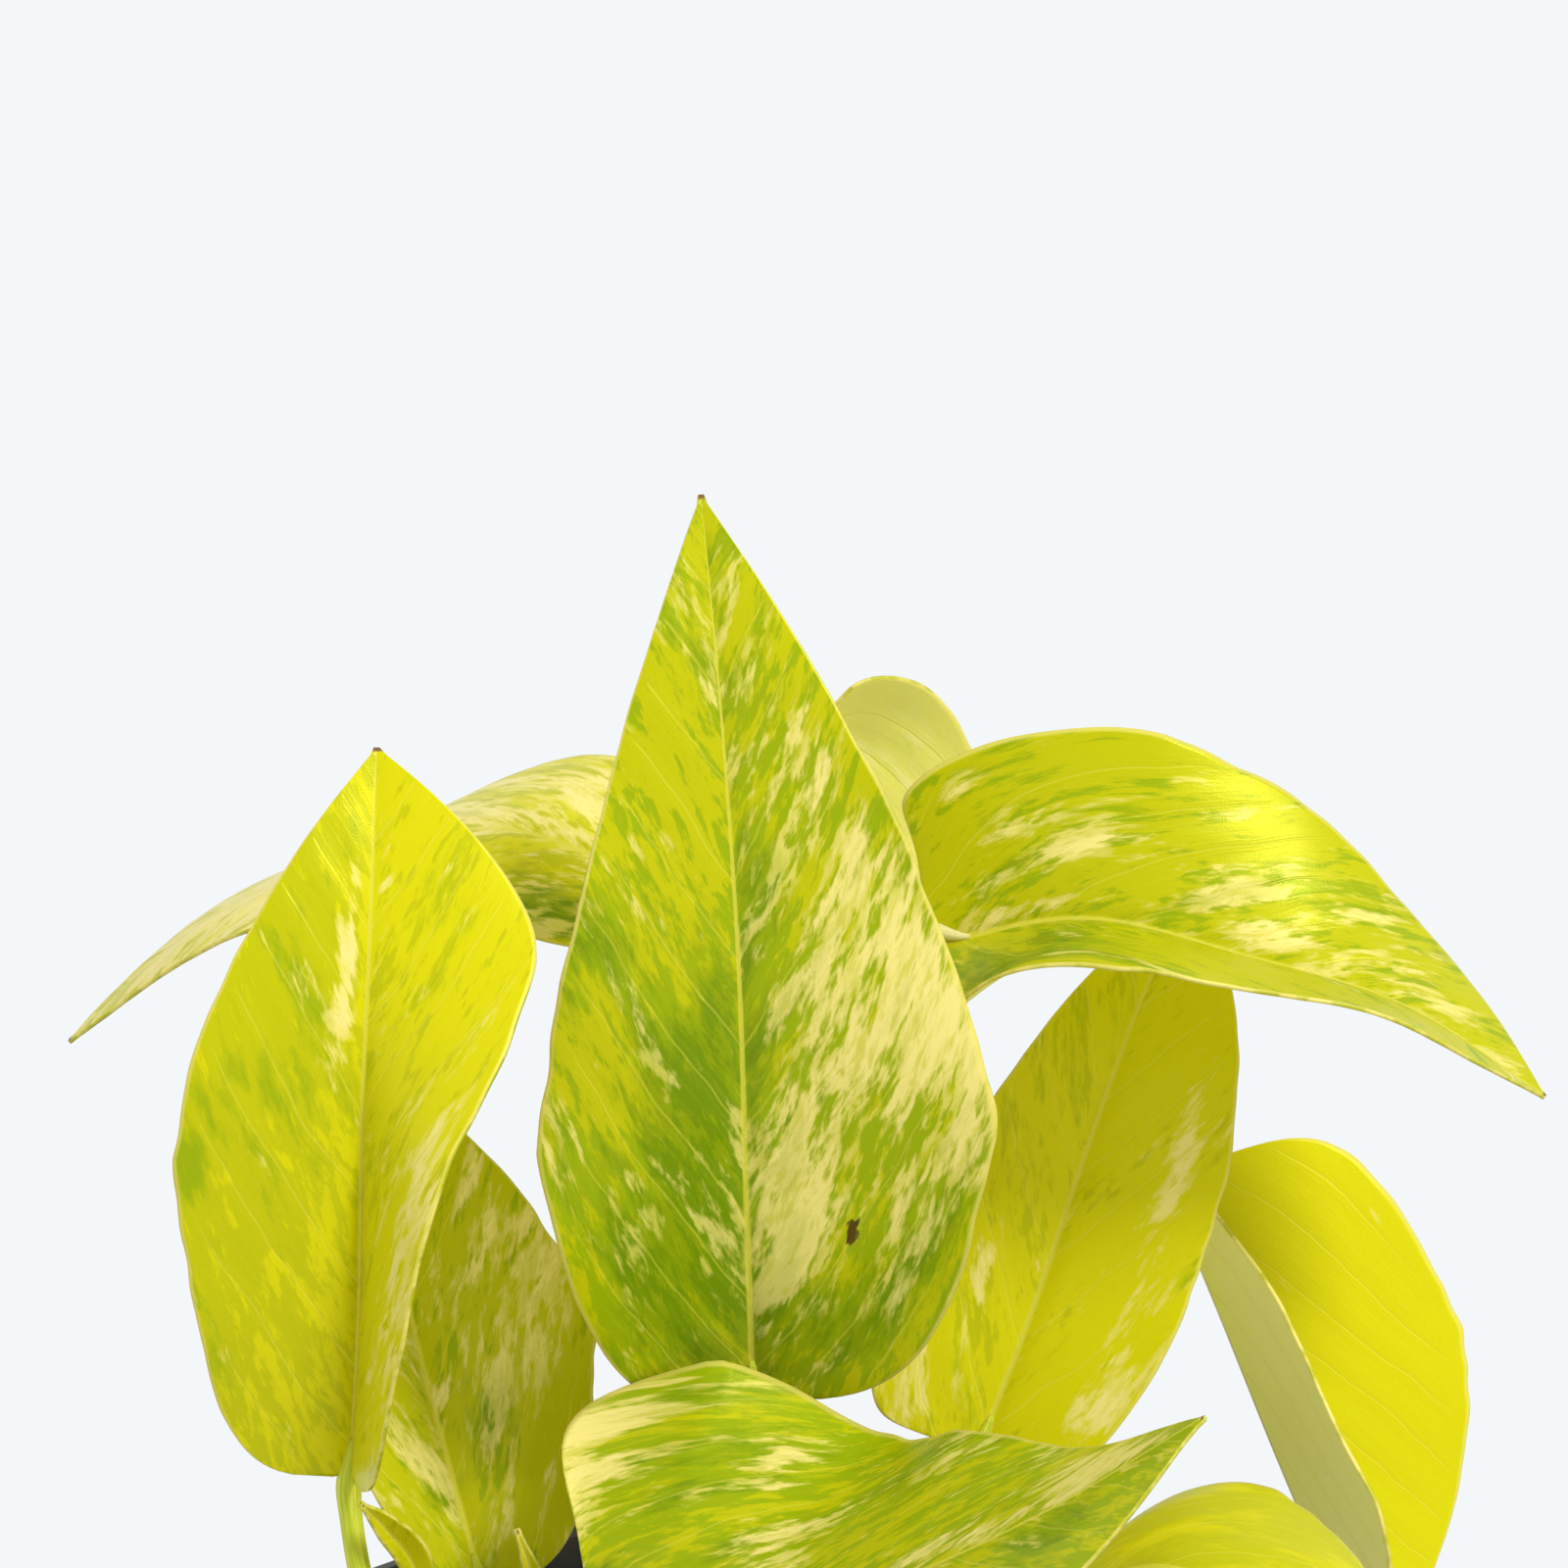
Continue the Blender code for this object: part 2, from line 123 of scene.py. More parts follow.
class Finish:
    """A material's node tree, to which each call adds one node."""

    def __init__(self, name, roughness=0.5):
        self.material = bpy.data.materials.new(name)
        self.material.use_nodes = True
        self.tree = self.material.node_tree
        self.shader = self.tree.nodes["Principled BSDF"]
        self.shader.inputs["Roughness"].default_value = roughness

    def waxy(self):
        """The soft shine of a live skin, tinted by what lies under it."""
        self.shader.inputs["Specular IOR Level"].default_value = WAX_SHINE
        self.shader.inputs["Specular Tint"].default_value = WAX_TINT

    def add(self, kind, settings=None, values=None, output=0):
        node = self.tree.nodes.new(kind)
        for key, value in (settings or {}).items():
            setattr(node, key, value)
        for key, value in (values or {}).items():
            self.feed(node.inputs[key], value)
        return Wire(self, node.outputs[output])

    def feed(self, socket, value):
        if isinstance(value, Wire):
            self.tree.links.new(value.socket, socket)
        else:
            socket.default_value = value

    def mix(self, share, first, second):
        values = {"Factor": share, 6: first, 7: second}
        return self.add("ShaderNodeMix", {"data_type": "RGBA"}, values, output=2)

    def step(self, value, low, high):
        """0 under low, 1 over high, smooth between."""
        values = {"Value": value, 1: low, 2: high}
        return self.add("ShaderNodeMapRange", {"interpolation_type": "SMOOTHSTEP"}, values)

    def noise(self, place, scale, detail=3.0, rough=0.55):
        values = {"Vector": place, "Scale": scale, "Detail": detail, "Roughness": rough}
        return self.add("ShaderNodeTexNoise", {"noise_dimensions": "3D"}, values)

    def vector(self, x, y, z):
        return self.add("ShaderNodeCombineXYZ", None, {0: x, 1: y, 2: z})

    def parts(self, vector):
        """The three numbers of a vector."""
        return [self.add("ShaderNodeSeparateXYZ", None, {0: vector}, output=axis) for axis in range(3)]

    def bump(self, height, depth, strength=1.0):
        values = {"Height": height, "Distance": depth, "Strength": strength}
        self.feed(self.shader.inputs["Normal"], self.add("ShaderNodeBump", None, values))

    def colour(self, value):
        self.feed(self.shader.inputs["Base Color"], value)

    def roughness(self, value):
        self.feed(self.shader.inputs["Roughness"], value)


def pale_floor():
    finish = Finish("studio_floor", roughness=1.0)
    finish.shader.inputs["Base Color"].default_value = FLOOR_COLOUR
    finish.shader.inputs["Specular IOR Level"].default_value = 0.0
    return finish.material


def link_mesh(name, bm, material):
    mesh = bpy.data.meshes.new(name)
    bm.to_mesh(mesh)
    bm.free()
    mesh.materials.append(material)
    mesh.shade_smooth()
    piece = bpy.data.objects.new(name, mesh)
    scene.collection.objects.link(piece)
    return piece


floor_bm = bmesh.new()
bmesh.ops.create_grid(floor_bm, x_segments=1, y_segments=1, size=FLOOR_SIDE / 2)
floor = link_mesh("studio_floor", floor_bm, pale_floor())

# ---- Pot -----------------------------------------------------------------------------------------
# A thin nursery pot, injection moulded in charcoal polypropylene. Its tapered wall and rolled rim are right
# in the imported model, so the model's own pot stays and only takes the moulded finish.
POT_COLOUR = (0.030, 0.030, 0.032, 1.0)
POT_WORN = (0.052, 0.051, 0.050, 1.0)
POT_DUST = (0.16, 0.13, 0.10, 1.0)


def moulded_plastic():
    finish = Finish("pot_charcoal")
    place = finish.add("ShaderNodeTexCoord", output=3)
    height = finish.add("ShaderNodeSeparateXYZ", None, {0: place}, output=2)
    cloudy = finish.noise(place, 26.0)
    speck = finish.noise(place, 900.0, detail=2.0)
    worn = finish.step(height, 0.089, 0.096) * 0.6 + finish.step(cloudy, 0.5, 0.75) * 0.3
    plastic = finish.mix(worn, POT_COLOUR, POT_WORN)
    dusty = finish.step(finish.noise(place, 160.0), 0.62, 0.75) * (1.0 - finish.step(height, 0.004, 0.03))
    finish.colour(finish.mix(dusty * 0.5, plastic, POT_DUST))
    finish.roughness(0.46 + cloudy * 0.14 + dusty * 0.2)
    finish.bump(speck, 0.00012, 0.45)
    return finish.material


def repaint(node, material):
    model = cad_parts[node]
    model.data.materials.clear()
    model.data.materials.append(material)


repaint("pot", moulded_plastic())

# ---- Soil ----------------------------------------------------------------------------------------
# Peat and bark potting mix, filled to just under the rim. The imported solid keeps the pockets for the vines,
# and loose crumbs of peat, bark chips and white perlite lie half sunk in its top.
PEAT_DARK = (0.018, 0.011, 0.007, 1.0)
PEAT_LIGHT = (0.085, 0.052, 0.030, 1.0)
PEAT_GRAIN = 520.0
CRUMB_GRAIN = 1100.0
CRUMB_COUNT = 620
CRUMB_RING = 46.5
CRUMB_ROUGHNESS = 0.07
CRUMB_RISE = 0.15
CRUMB_DRAW = 7
SOIL_TOP = 87.0
SOIL_CROWN = 2.0
SOIL_EDGE_DROP = 1.2
VINE_HOLE_RADIUS = 3.6
# name, share of the crumbs, colour from, colour to, smallest and largest size, flatness
CRUMBS = (
    ("peat_crumbs", 0.62, PEAT_DARK, PEAT_LIGHT, (0.7, 2.2), 0.8),
    ("bark_chips", 0.26, (0.10, 0.05, 0.022, 1.0), (0.24, 0.13, 0.06, 1.0), (1.2, 3.4), 0.4),
    ("perlite_grains", 0.12, (0.62, 0.60, 0.55, 1.0), (0.83, 0.81, 0.76, 1.0), (0.7, 1.7), 0.85),
)


def crumbly(name, dark, light, grain):
    finish = Finish(name, roughness=0.95)
    place = finish.add("ShaderNodeTexCoord", output=3)
    lumps = finish.noise(place, grain, detail=6.0, rough=0.7)
    finish.colour(finish.mix(finish.step(lumps, 0.35, 0.68), dark, light))
    finish.bump(lumps, 0.0012, 0.8)
    return finish.material


def soil_height(radius):
    """The height of the soil's top at a distance from the pot's axis."""
    share = min(radius / CRUMB_RING, 1.0)
    return SOIL_TOP + SOIL_CROWN * (1.0 - share) - SOIL_EDGE_DROP * share ** 8


# name: middle line of each rooted vine, from inside the soil to its growing end
VINES = {
    "vine_left": ((-30, -10, 62), (-31, -11, 75), (-32, -12, 88), (-35, -15, 98), (-36, -17, 107)),
    "vine_front": ((-4, -6, 62), (-3.5, -6, 75), (-3, -6, 88), (0, -5, 103), (4, -3, 116)),
    "vine_right": ((26, 6, 62), (26.5, 6, 75), (27, 6, 88), (31, 8, 105), (38, 13, 119)),
    "vine_back": ((2, 26, 62), (2, 25.5, 75), (2, 25, 88), (3, 23, 106), (3, 20, 124)),
}
VINE_AT_SOIL = 2


def clear_of_vines(x, y, room):
    """Whether a crumb at a place on the soil's top keeps off every vine."""
    at_soil = [points[VINE_AT_SOIL] for points in VINES.values()]
    return all(math.hypot(x - at[0], y - at[1]) > VINE_HOLE_RADIUS + room for at in at_soil)


def crumb_pieces():
    """Makes each kind of crumb as one piece, of small squashed and roughened balls."""
    draw = random.Random(CRUMB_DRAW)
    for name, share, dark, light, sizes, flat in CRUMBS:
        bm = bmesh.new()
        for index in range(int(CRUMB_COUNT * share)):
            size = draw.uniform(*sizes)
            radius = (CRUMB_RING - size) * math.sqrt(draw.random())
            turn = draw.uniform(0.0, math.tau)
            x, y = radius * math.cos(turn), radius * math.sin(turn)
            if not clear_of_vines(x, y, size):
                continue
            twist = Matrix.Rotation(draw.uniform(0.0, math.tau), 4, "Z")
            spin = twist @ Matrix.Rotation(draw.uniform(-0.5, 0.5), 4, "X")
            depth = size * draw.uniform(0.5, 0.9)
            shape = Matrix.Diagonal((size, depth, size * flat * draw.uniform(0.6, 1.0), 1.0))
            place = Matrix.Translation((x, y, soil_height(radius) + size * CRUMB_RISE)) @ spin @ shape
            made = bmesh.ops.create_icosphere(bm, subdivisions=1, radius=0.5, matrix=place)
            for vert in made["verts"]:
                push = Vector((draw.uniform(-1, 1), draw.uniform(-1, 1), draw.uniform(-1, 1)))
                vert.co += push * size * CRUMB_ROUGHNESS
        bmesh.ops.scale(bm, verts=bm.verts, vec=(MM, MM, MM))
        piece = link_mesh(name, bm, crumbly(name, dark, light, CRUMB_GRAIN))
        piece.data.shade_flat()
        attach(piece, "root")


repaint("soil", crumbly("potting_soil", PEAT_DARK, PEAT_LIGHT, PEAT_GRAIN))
crumb_pieces()

# ---- Vines ---------------------------------------------------------------------------------------
# Four rooted vine cuttings stand in the soil. Each is a fleshy green stem that tapers to its growing end,
# swells at every node and carries a dry brown ring just under it.
VINE_RADIUS = 3.2
VINE_TAPER = 0.35
VINE_STEPS = 60
VINE_SIDES = 24
NODE_SHARES = (0.44, 0.7, 0.92)
NODE_SWELL = 0.09
NODE_REACH = 0.022
RING_DROP = 0.01
RING_REACH = 0.012
MM_PER_CM = 10.0
WELD = 0.000001


def smooth_point(points, share):
    """The point at a share of the way along a smooth line through the given points."""
    place = min(max(share, 0.0), 1.0) * (len(points) - 1)
    index = min(int(place), len(points) - 2)
    t = place - index
    p1, p2 = points[index], points[index + 1]
    p0 = points[index - 1] if index else p1 * 2 - p2
    p3 = points[index + 2] if index + 2 < len(points) else p2 * 2 - p1
    return 0.5 * (
        2 * p1 + (p2 - p0) * t + (2 * p0 - 5 * p1 + 4 * p2 - p3) * t ** 2
        + (3 * p1 - p0 - 3 * p2 + p3) * t ** 3
    )


def smooth_line(points, steps):
    points = [Vector(point) for point in points]
    return [smooth_point(points, index / steps) for index in range(steps + 1)]


def fleshy_tube(name, line, radius, material, sides, groove=0.0):
    """A closed tube along a line, rolled up from a grid. radius gives its size by share of the way along, and
    groove is the depth of the channel on its upper side. lie keeps its turn and its centimetres along."""
    bm = bmesh.new()
    lie = bm.verts.layers.float_vector.new("lie")
    last = len(line) - 1
    bmesh.ops.create_grid(bm, x_segments=sides, y_segments=last, size=1.0)
    frames, across, length = [], Vector((1.0, 0.0, 0.0)), 0.0
    for index, point in enumerate(line):
        ahead = (line[min(index + 1, last)] - line[max(index - 1, 0)]).normalized()
        across = (across - ahead * across.dot(ahead)).normalized()
        length += (point - line[max(index - 1, 0)]).length
        frames.append((point, across.copy(), ahead.cross(across), length))
    for vert in bm.verts:
        index = round((vert.co.y + 1.0) / 2.0 * last)
        angle = math.pi * (vert.co.x + 1.0)
        point, side, other, length = frames[index]
        top = math.cos(angle - math.pi / 2)
        size = radius(index / last) * (1.0 - groove * max(top, 0.0) ** 12)
        vert[lie] = (math.cos(angle), length / MM_PER_CM, math.sin(angle))
        vert.co = (point + (side * math.cos(angle) + other * math.sin(angle)) * size) * MM
    bmesh.ops.remove_doubles(bm, verts=bm.verts, dist=WELD)
    bmesh.ops.holes_fill(bm, edges=bm.edges, sides=0)
    bmesh.ops.recalc_face_normals(bm, faces=bm.faces)
    return link_mesh(name, bm, material)


VINE_GREEN = (0.20, 0.30, 0.03, 1.0)
VINE_PALE = (0.46, 0.50, 0.12, 1.0)
SCALE_BROWN = (0.22, 0.13, 0.05, 1.0)


def stem_skin(name, dark, light, brown=None):
    """A fleshy skin with fine streaks along it, and brown dry rings where it has nodes."""
    finish = Finish(name)
    finish.waxy()
    lie = finish.add("ShaderNodeAttribute", {"attribute_name": "lie"}, output=1)
    x, along, z = finish.parts(lie)
    streak = finish.noise(finish.vector(x * 9.0, along * 1.1, z * 9.0), 1.0, detail=4.0)
    cloud = finish.noise(finish.vector(x * 1.2, along * 0.8, z * 1.2), 1.0)
    colour = finish.mix(finish.step(streak * 0.55 + cloud * 0.45, 0.4, 0.62), dark, light)
    if brown:
        ring = finish.add("ShaderNodeAttribute", {"attribute_name": "ring"}, output=2)
        colour = finish.mix(finish.step(ring + streak * 0.5, 0.75, 1.0), colour, brown)
    finish.colour(colour)
    finish.roughness(0.36 + streak * 0.2)
    finish.bump(streak, 0.0003, 0.5)
    return finish.material


def near_node(share, reach):
    """How near a place is to each node: 1 at the node, falling away over the reach."""
    return [math.exp(-((share - node) / reach) ** 2) for node in NODE_SHARES]


def vine_size(share):
    """Its radius, swollen at the nodes and rounded off at the growing end."""
    swell = sum(near_node(share, NODE_REACH))
    rounding = min(1.0, 8.0 * (1.02 - share)) ** 0.5
    return VINE_RADIUS * (1.0 - VINE_TAPER * share ** 3) * (0.97 + NODE_SWELL * swell) * rounding


def make_vines():
    skin = stem_skin("vine_green", VINE_GREEN, VINE_PALE, SCALE_BROWN)
    for name, points in VINES.items():
        line = smooth_line(points, VINE_STEPS)
        piece = fleshy_tube(f"{name}_stem", line, vine_size, skin, VINE_SIDES)
        ring = piece.data.attributes.new("ring", "FLOAT", "POINT")
        lie = piece.data.attributes["lie"].data
        length = max(item.vector[1] for item in lie)
        for index, item in enumerate(lie):
            share = item.vector[1] / length
            ring.data[index].value = max(near_node(share + RING_DROP, RING_REACH))
        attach(piece, "root")
        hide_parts(name)


make_vines()

# ---- Blades --------------------------------------------------------------------------------------
# Thirteen leaf blades and two small sheaths. Each is a thin waxy skin with a channelled midrib, fine side
# veins, a pale edge and its own variegation in deep green, green, lime and cream, with painted shade on three
# blades and painted light shining through on the undersides.
BLADE_THICKNESS = 0.5
HALF_COLUMNS = 30
ROW_COUNT = 110
SHEATH_HALF_COLUMNS = 6
SHEATH_ROW_COUNT = 24
ROW_CROWDING = 1.15
DRY_TIP = 0.012
SEED_START = 0.4
SEED_STEP = 1.7
NECK = 2.2
TIP = 0.35
RIB_DEPTH = 0.45
MARGIN_WAVE = 0.018
RIB_WIDTH = 1.3
VEIN_SWELL = 0.07
VEIN_PITCH = 11.0
VEIN_SLOPE = 1.5
VEIN_BEND = 0.009
THREADS = 4.0

# The usual outline: how fast each half (left, right) widens from the stalk, then how fast it narrows
ROUND = (0.3, 0.3, 1.7, 1.7)

# name: midrib points, directions that the face turns to along the midrib, half widths (left, right),
#       where each half is widest, outline, fold of each half (left, right) in degrees along the midrib,
#       curl of each half in degrees, ripple of the edge, lobe at the stalk, colour
BLADES = {
    "blade_centre": (
        ((3.4, -14, 129.8), (2.6, -22, 157.4), (1.8, -26.4, 185.5), (-0.1, -25.1, 213.9), (-2.7, -19, 241.8)),
        ((0.05, -1, 0.1), (0.05, -1, 0.3)), (26, 31), (0.32, 0.32), (0.3, 0.3, 1.45, 1.45),
        ((18, 16), (10, 10)), (-8, -6), 0.8, 3,
        "leaf_green",
    ),
    "blade_left": (
        (
            (-45.3, -24, 122.6), (-43.6, -29.7, 144.8), (-43, -32, 167.6), (-42.1, -29.9, 190.5),
            (-41.5, -22, 211.7),
        ),
        ((0.05, -1, 0.15), (0, -1, 0.4)), (23.1, 20.4), (0.46, 0.72), (0.25, 0.3, 1.6, 1.7),
        ((12, 76), (12, 75), (12, 58), (12, 8), (12, 8)),
        (-8, -8), 0.5, 2, "leaf_lime",
    ),
    "blade_back_left": (
        (
            (-6.1, 4, 188.5), (-26.4, 13, 195.4), (-47.3, 22.3, 190.2), (-66.7, 29.8, 180.2),
            (-84.3, 36, 163.7),
        ),
        ((-0.1, -0.75, 0.6), (-0.1, -0.3, 0.93), (-0.35, -0.08, 0.93), (-0.5, -0.25, 0.8)), (17.5, 21),
        (0.3, 0.25), ROUND,
        ((-5, 0), (-6, -5), (0, 0)), (-8, -8), 0.4, 0, "leaf_cream",
    ),
    "blade_low_left": (
        ((-30, -6, 102.7), (-34.7, -2.5, 119.1), (-39, 0.7, 135.6), (-42, 5.9, 151.9), (-45.2, 12, 167.7)),
        ((0.3, -1, 0.1), (0.1, -1, 0.4)), (13.5, 23), (0.35, 0.45), (0.3, 0.3, 1.7, 1.5),
        ((26, 12), (15, 10)), (0, -8), 0.4, 0,
        "leaf_green",
    ),
    "blade_back_top": (
        ((10, 30, 205.5), (14.5, 38, 202), (18, 42, 190), (21.5, 43, 174), (24.5, 41, 158)),
        ((0, 1, 0.25), (0.1, 1, 0.1)), (13, 16.5), (0.4, 0.4), (0.4, 0.45, 1.7, 1.7),
        ((2, 2), (8, 8)), (-14, -14), 0.2, 5,
        "leaf_underside",
    ),
    "blade_right": (
        ((25.2, -5, 184.6), (43.9, -10.6, 188.7), (63.3, -15, 184.8), (82.1, -18.8, 179.5), (98.9, -22, 169)),
        ((0, -0.7, 0.7), (0.4, -0.5, 0.8)), (24, 20), (0.31, 0.35), (0.22, 0.3, 1.85, 1.7),
        ((34, -8), (37, 31), (24, 40), (2, 35), (0, 30)), (-6, -10), 0.6, 9, "leaf_green",
    ),
    "blade_mid_right": (
        ((31.3, 0, 119), (38.1, 0.9, 137.2), (44.3, 2.8, 155.6), (51, 7.6, 173.4), (58.6, 16, 189)),
        ((-0.05, -1, 0.1), (0, -1, 0.5)), (18.8, 18.6), (0.2, 0.34), (0.3, 0.3, 1.5, 2.8),
        ((14, 14), (10, 10)), (-6, -6), 0.4, 5,
        "leaf_lime",
    ),
    "blade_far_right": (
        ((55.3, 16, 150.2), (62, 11.7, 134.4), (68.5, 8.8, 118.3), (75.2, 7.1, 102), (81.3, 7, 85.6)),
        ((0.84, -0.54, 0.36), (0.84, -0.54, 0.36)), (28.5, 27), (0.36, 0.6), (0.3, 0.7, 2.1, 1.7),
        ((57, 60), (45, 52)), (-8, -6), 0.4, 6,
        "leaf_yellow",
    ),
    "blade_front": (
        ((-15, -35, 104), (1.6, -51.2, 111.7), (19.6, -65, 120.8), (37.2, -77, 132.6), (54.6, -87, 146.3)),
        ((-0.59, -0.77, -0.03), (-0.58, -0.45, 0.45), (-0.52, -0.22, 0.67), (-0.49, -0.09, 0.72)), (36, 30),
        (0.12, 0.3), ROUND, ((-6, 75), (-28, 48), (-10, 8), (-8, -8), (-8, -13)), (-6, -10), 0.6, 10,
        "leaf_green",
    ),
    "blade_low_right": (
        ((42.9, -25, 109.5), (53.4, -34.4, 114), (65.3, -42.5, 111), (75.3, -47.5, 101.1), (81.7, -50, 88.2)),
        ((0.1, -0.55, 0.8), (0.7, -0.5, 0.6)), (20, 20), (0.3, 0.3), ROUND, ((12, 12), (8, 8)), (-25, -25),
        0.4, 0,
        "leaf_yellow",
    ),
    "blade_rear_top": (
        ((3, 38, 140), (2, 50, 155), (1, 64, 160), (0, 79, 152), (-2, 90, 134)),
        ((0, -0.6, 0.8), (0, 0.8, 0.6)), (22, 22), (0.3, 0.3), ROUND, ((12, 12), (10, 10)), (-10, -10), 0.5,
        2,
        "leaf_lime",
    ),
    "blade_rear_right": (
        ((22, 40, 108), (26, 54, 104), (29, 66, 92), (31, 74, 76), (32, 78, 60)),
        ((0.1, 0.5, 0.9), (0.2, 1, 0.2)), (21, 21), (0.3, 0.3), ROUND, ((14, 14), (10, 10)), (-10, -10),
        0.5, 2,
        "leaf_green",
    ),
    "blade_rear_left": (
        ((-10, 40, 108), (-14, 54, 104), (-17, 66, 92), (-19, 73, 76), (-20, 77, 60)),
        ((-0.1, 0.5, 0.9), (-0.2, 1, 0.2)), (20, 20), (0.3, 0.3), ROUND, ((14, 14), (10, 10)), (-10, -10),
        0.5, 2,
        "leaf_lime",
    ),
    "sheath_left": (
        ((-34.5, -19.2, 99), (-38, -21.8, 110.5), (-41.3, -26, 116.5), (-43.8, -29.8, 120.5)),
        ((0.3, -1, 0.2), (0.3, -1, 0.2)), (2.4, 3.0), (0.4, 0.4), ROUND, ((40, 40), (20, 20)), (20, 20),
        0.0, 0,
        "leaf_lime",
    ),
    "sheath_front": (
        ((-20.5, -16, 89.5), (-21.5, -18, 98.5), (-23, -21, 107.5), (-25.3, -23, 115.5)),
        ((0, -1, 0.2), (0, -1, 0.2)), (2.0, 2.4), (0.4, 0.4), ROUND, ((30, 30), (20, 20)), (10, 10), 0.0, 0,
        "leaf_lime",
    ),
}
